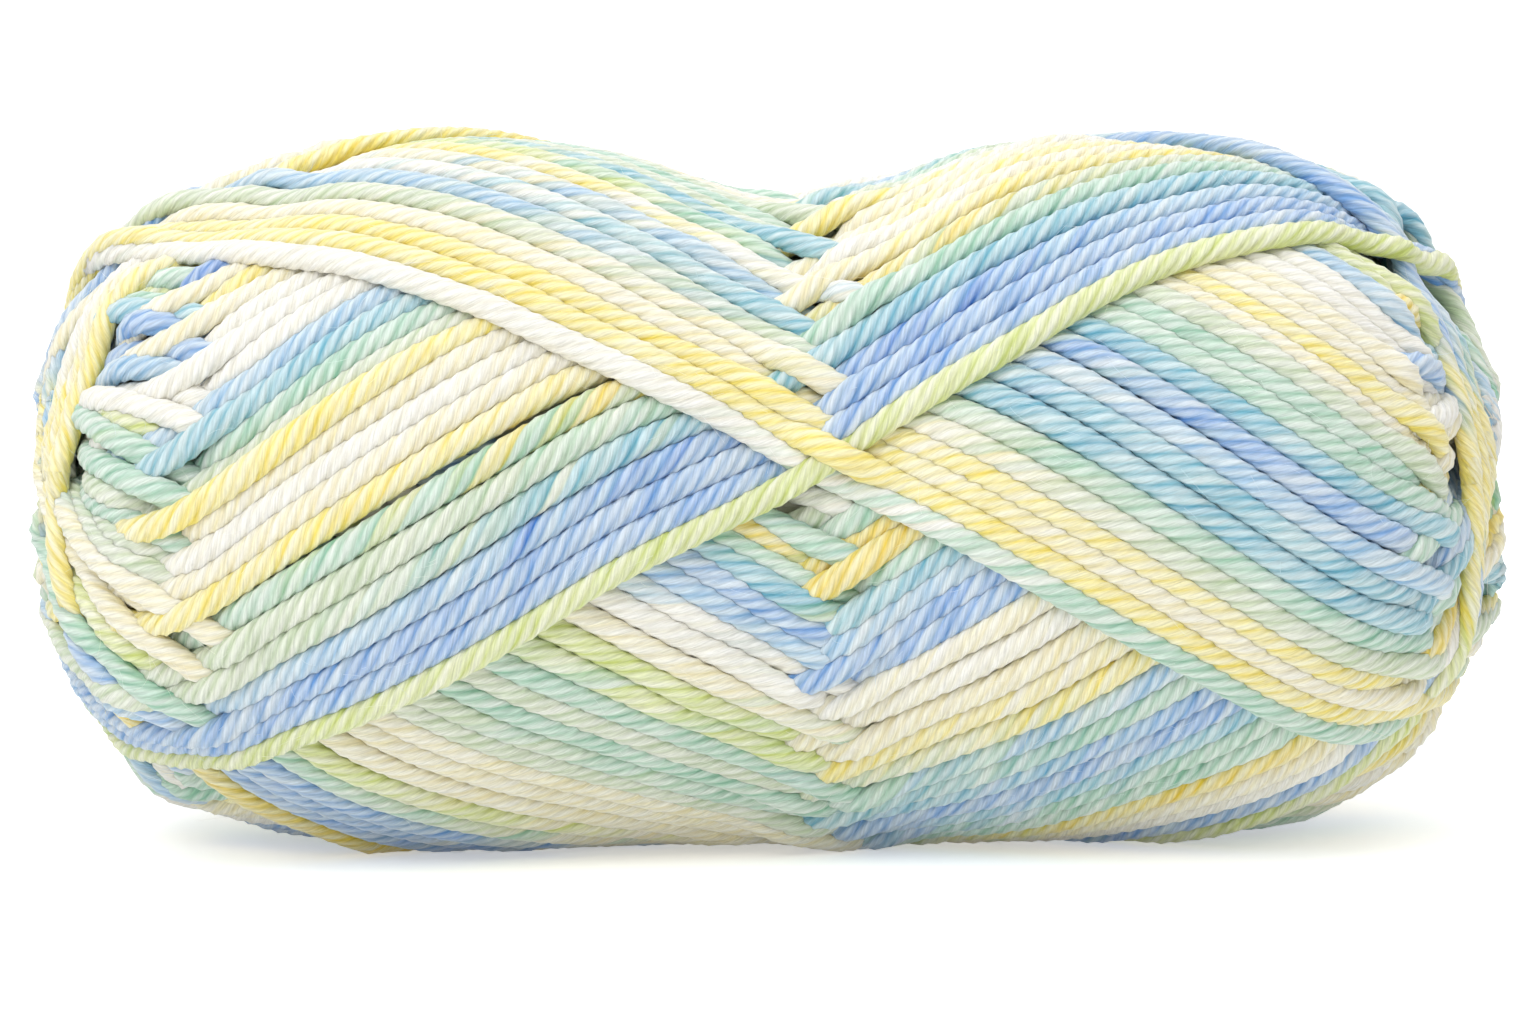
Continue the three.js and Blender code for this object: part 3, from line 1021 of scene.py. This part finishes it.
def fibre_group():
    """Colour and height of the fibres, from a base dye, a place on the strand and its relief.
    Crests and outward sides get a painted highlight, grooves and inward sides painted shade.
    """
    tree = bpy.data.node_groups.new("fibre_dye_with_painted_light", "ShaderNodeTree")
    sockets = {"Dye": "Color", "Place": "Vector", "Groove": "Float", "Outward": "Float", "Depth": "Float"}
    for name, kind in sockets.items():
        tree.interface.new_socket(name, in_out="INPUT", socket_type="NodeSocket" + kind)
    tree.interface.new_socket("Color", in_out="OUTPUT", socket_type="NodeSocketColor")
    tree.interface.new_socket("Height", in_out="OUTPUT", socket_type="NodeSocketFloat")
    given = tree.nodes.new("NodeGroupInput").outputs

    def noise(by, detail):
        spot = add_node(tree, "ShaderNodeVectorMath", {0: given["Place"], 1: by}, operation="MULTIPLY")
        values = {"Vector": spot.outputs[0], "Scale": 1.0, "Detail": detail}
        return add_node(tree, "ShaderNodeTexNoise", values).outputs[0]

    def mapped(value, low, high, to_low, to_high):
        values = {0: value, 1: low, 2: high, 3: to_low, 4: to_high}
        return add_node(tree, "ShaderNodeMapRange", values).outputs[0]

    def mixed(share, colour, other):
        values = {0: share, 6: colour, 7: other}
        return add_node(tree, "ShaderNodeMix", values, data_type="RGBA").outputs[2]

    fine, broad = noise(FINE_STREAKS, 3.0), noise(BROAD_STREAKS, 2.0)
    # Painted shade: the dye darkened and deepened, for the grooves and inward sides; painted highlight: the
    # dye mixed towards near white, for the crests
    painted_groove_shade = add_node(tree, "ShaderNodeGamma", {"Color": given["Dye"], "Gamma": given["Depth"]})
    painted_crest_light = mixed(CREST_HIGHLIGHT_SHARE, given["Dye"], CREST_HIGHLIGHT_COLOUR)
    # Where the painted highlight or the painted shade goes: crests and outward sides lit, grooves and inward
    # sides shaded
    ridge = mapped(given["Groove"], VALLEY - 0.01, 0.99, 0.15, 1.0)
    lifted = mapped(given["Outward"], -0.35, 0.75, 0.0, 1.0)
    both = add_node(tree, "ShaderNodeMath", {0: ridge, 1: lifted}, operation="MULTIPLY")
    streak = mapped(broad, 0.35, 0.65, -0.28, 0.28)
    painted_light_share = add_node(tree, "ShaderNodeMath", {0: both.outputs[0], 1: streak}, operation="ADD", use_clamp=True)
    yarn_colour = mixed(painted_light_share.outputs[0], painted_groove_shade.outputs[0], painted_crest_light)
    glint = mapped(fine, 0.3, 0.7, 0.80, 1.06)
    final = add_node(tree, "ShaderNodeVectorMath", {0: yarn_colour, 1: glint}, operation="MULTIPLY")
    out = tree.nodes.new("NodeGroupOutput")
    tree.links.new(final.outputs[0], out.inputs["Color"])
    tree.links.new(fine, out.inputs["Height"])
    return tree


fibre_dye_with_painted_light = fibre_group()
print("Fibre effect made of", len(fibre_dye_with_painted_light.nodes), "nodes")


# %% Yarn materials
# A greyed yarn colour: painted shade for the inner yarn seen between the strands
SHADE_COLOUR = (0.70, 0.70, 0.58, 1)
SHADE_SCALE = (180, 900, 900)
# How strongly the painted shade darkens and deepens the dye, on the strands and on the inner yarn
STRAND_SHADE_DEPTH, SHADE_DEPTH = 1.45, 1.3
STRAND_BUMP, SHADE_BUMP = 0.16, 0.3


def new_material(name):
    """A matt, slightly downy material."""
    material = bpy.data.materials.new(name)
    material.use_nodes = True
    tree = material.node_tree
    shader = tree.nodes["Principled BSDF"]
    shader.inputs["Roughness"].default_value = 0.82
    shader.inputs["Specular IOR Level"].default_value = 0.25
    shader.inputs["Sheen Weight"].default_value = 0.22
    shader.inputs["Sheen Roughness"].default_value = 0.45
    return material, tree, shader


def finish_with(group, bump_distance, tree, shader):
    """Leads the colour and the fine relief of the fibre effect into a material."""
    values = {"Height": group.outputs["Height"], "Strength": 0.7, "Distance": bump_distance * MM}
    bump = add_node(tree, "ShaderNodeBump", values)
    tree.links.new(group.outputs["Color"], shader.inputs["Base Color"])
    tree.links.new(bump.outputs[0], shader.inputs["Normal"])


def strand_material():
    """Dyed yarn that lets a little light through."""
    material, tree, shader = new_material("plied_baby_yarn")
    dye = add_node(tree, "ShaderNodeAttribute", attribute_name="dye")
    place = add_node(tree, "ShaderNodeAttribute", attribute_name="strand")
    relief = add_node(tree, "ShaderNodeAttribute", attribute_name="relief")
    parts = add_node(tree, "ShaderNodeSeparateXYZ", {0: relief.outputs["Vector"]})
    # The fibre group paints a highlight on the crests and shade in the grooves and on the inward sides
    group = add_node(tree, "ShaderNodeGroup", node_tree=fibre_dye_with_painted_light)
    tree.links.new(dye.outputs["Color"], group.inputs["Dye"])
    tree.links.new(place.outputs["Vector"], group.inputs["Place"])
    tree.links.new(parts.outputs["X"], group.inputs["Groove"])
    tree.links.new(parts.outputs["Y"], group.inputs["Outward"])
    group.inputs["Depth"].default_value = STRAND_SHADE_DEPTH
    shader.inputs["Subsurface Weight"].default_value = 0.5
    shader.inputs["Subsurface Radius"].default_value = (1.0, 1.0, 1.0)
    shader.inputs["Subsurface Scale"].default_value = 0.5 * MM
    finish_with(group, STRAND_BUMP, tree, shader)
    return material


def inner_material():
    """One greyed yarn colour, painted as shade, for all the inner yarn in the shade."""
    material, tree, shader = new_material("yarn_in_shade")
    coordinates = add_node(tree, "ShaderNodeTexCoord")
    values = {"Vector": coordinates.outputs["Object"], "Scale": SHADE_SCALE}
    place = add_node(tree, "ShaderNodeMapping", values)
    group = add_node(tree, "ShaderNodeGroup", node_tree=fibre_dye_with_painted_light)
    group.inputs["Dye"].default_value = SHADE_COLOUR
    tree.links.new(place.outputs[0], group.inputs["Place"])
    # Set as a groove facing inward, so the fibre group paints it almost all in shade
    group.inputs["Groove"].default_value = 0.7
    group.inputs["Outward"].default_value = 0.0
    group.inputs["Depth"].default_value = SHADE_DEPTH
    finish_with(group, SHADE_BUMP, tree, shader)
    return material


def fibre_material():
    material, tree, shader = new_material("loose_fibre")
    dye = add_node(tree, "ShaderNodeAttribute", attribute_name="dye")
    tree.links.new(dye.outputs["Color"], shader.inputs["Base Color"])
    return material


yarn_finish = strand_material()
for piece in strand_pieces:
    piece.data.materials.clear()
    piece.data.materials.append(yarn_finish)
inner.data.materials.append(inner_material())
fibres.data.materials.clear()
fibres.data.materials.append(fibre_material())

# %% [markdown]
# Joining the frame
# Every piece belongs to the one body and stands for the plain wound solid.

# %% Pieces on their body
for piece in [*strand_pieces, inner, fibres]:
    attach(piece, "root")
    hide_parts(WOUND_NODE)

# %% [markdown]
# Floor, light and camera
# The skein is shown on white. A floor that curves up behind it has no edge to be seen, a wide soft
# light from above and in front gives gentle shading, and an even world fills the shadows. The floor
# and the world look white to the camera, and shine less on the yarn, so that its underside is
# shaded. The camera stands far off with a long lens, a little above the middle of the skein.

# %% Floor
FLOOR_HALF = 1.6
FLOOR_RISE = 1.4
FLOOR_BEND, BEND_STEPS = 0.7, 16
FLOOR_COLOUR = (0.93, 0.93, 0.925, 1)
FLOOR_GLOW, FLOOR_GLOW_SEEN = 0.10, 0.42


def studio_floor():
    """A sheet of white paper that curves up behind the skein."""
    mesh = bpy.data.meshes.new("studio_floor")
    bm = bmesh.new()
    bmesh.ops.create_grid(bm, x_segments=1, y_segments=1, size=FLOOR_HALF)
    far = [e for e in bm.edges if all(v.co.y > 0 for v in e.verts)]
    raised = bmesh.ops.extrude_edge_only(bm, edges=far)["geom"]
    corners = [part for part in raised if isinstance(part, bmesh.types.BMVert)]
    bmesh.ops.translate(bm, verts=corners, vec=(0, 0, FLOOR_RISE))
    bmesh.ops.bevel(bm, geom=far, offset=FLOOR_BEND, segments=BEND_STEPS, affect="EDGES", profile=0.5,
                    material=-1)
    for face in bm.faces:
        face.smooth = True
    bm.to_mesh(mesh)
    bm.free()
    material, tree, shader = new_material("white_paper")
    shader.inputs["Base Color"].default_value = FLOOR_COLOUR
    shader.inputs["Sheen Weight"].default_value = 0.0
    shader.inputs["Emission Color"].default_value = (1, 1, 1, 1)
    seen = add_node(tree, "ShaderNodeLightPath")
    values = {0: seen.outputs["Is Camera Ray"], 3: FLOOR_GLOW, 4: FLOOR_GLOW_SEEN}
    glow = add_node(tree, "ShaderNodeMapRange", values)
    tree.links.new(glow.outputs[0], shader.inputs["Emission Strength"])
    mesh.materials.append(material)
    made = add_object("studio_floor", mesh)
    return made


floor = studio_floor()


# %% Lights
WORLD_LIGHT = 0.5
KEY_PLACE, KEY_SIZE, KEY_WATTS = (-0.35, -0.55, 0.75), (0.6, 0.6), 4.6
TOP_PLACE, TOP_SIZE, TOP_WATTS = (0.1, 0.15, 0.9), (1.2, 1.0), 4.8
LIT_POINT = (0, 0, 0.03)


def soft_light(name, place, size, watts):
    """A wide light that faces the middle of the skein."""
    data = bpy.data.lights.new(name, "AREA")
    data.shape = "RECTANGLE"
    data.size, data.size_y = size
    data.energy = watts
    made = add_object(name, data)
    made.location = place
    made.rotation_mode = "QUATERNION"
    made.rotation_quaternion = (Vector(LIT_POINT) - Vector(place)).to_track_quat("-Z", "Y")
    return made


def studio_world():
    """White where it is seen, and a softer light where it shines on the yarn."""
    world = bpy.data.worlds.new("studio")
    world.use_nodes = True
    tree = world.node_tree
    sky = tree.nodes["Background"]
    sky.inputs["Color"].default_value = (1, 1, 1, 1)
    seen = add_node(tree, "ShaderNodeLightPath")
    values = {0: seen.outputs["Is Camera Ray"], 3: WORLD_LIGHT, 4: 1.0}
    strength = add_node(tree, "ShaderNodeMapRange", values)
    tree.links.new(strength.outputs[0], sky.inputs["Strength"])
    return world


bpy.context.scene.world = studio_world()
soft_light("key_light", KEY_PLACE, KEY_SIZE, KEY_WATTS)
soft_light("top_light", TOP_PLACE, TOP_SIZE, TOP_WATTS)
bpy.context.scene.view_settings.view_transform = "Standard"

# %% Camera
LENS = 150.0
SENSOR = 36.0
PICTURE_WIDTH = 136.8
AIM_HEIGHT = 29.05
CAMERA_RISE = 6.0
CAMERA_ROLL = 0.6
camera_data = bpy.data.cameras.new("camera")
camera_data.lens = LENS
camera_data.sensor_width = SENSOR
camera_data.clip_start = 0.01
camera = add_object("camera", camera_data)
rise = math.radians(CAMERA_RISE)
back_off = Vector((0, -math.cos(rise), math.sin(rise)))
camera.location = Vector((0, 0, AIM_HEIGHT * MM)) + back_off * (PICTURE_WIDTH * MM * LENS / SENSOR)
camera.rotation_mode = "QUATERNION"
roll = Quaternion((0, 0, 1), -math.radians(CAMERA_ROLL))
camera.rotation_quaternion = (-back_off).to_track_quat("-Z", "Y") @ roll
bpy.context.scene.camera = camera
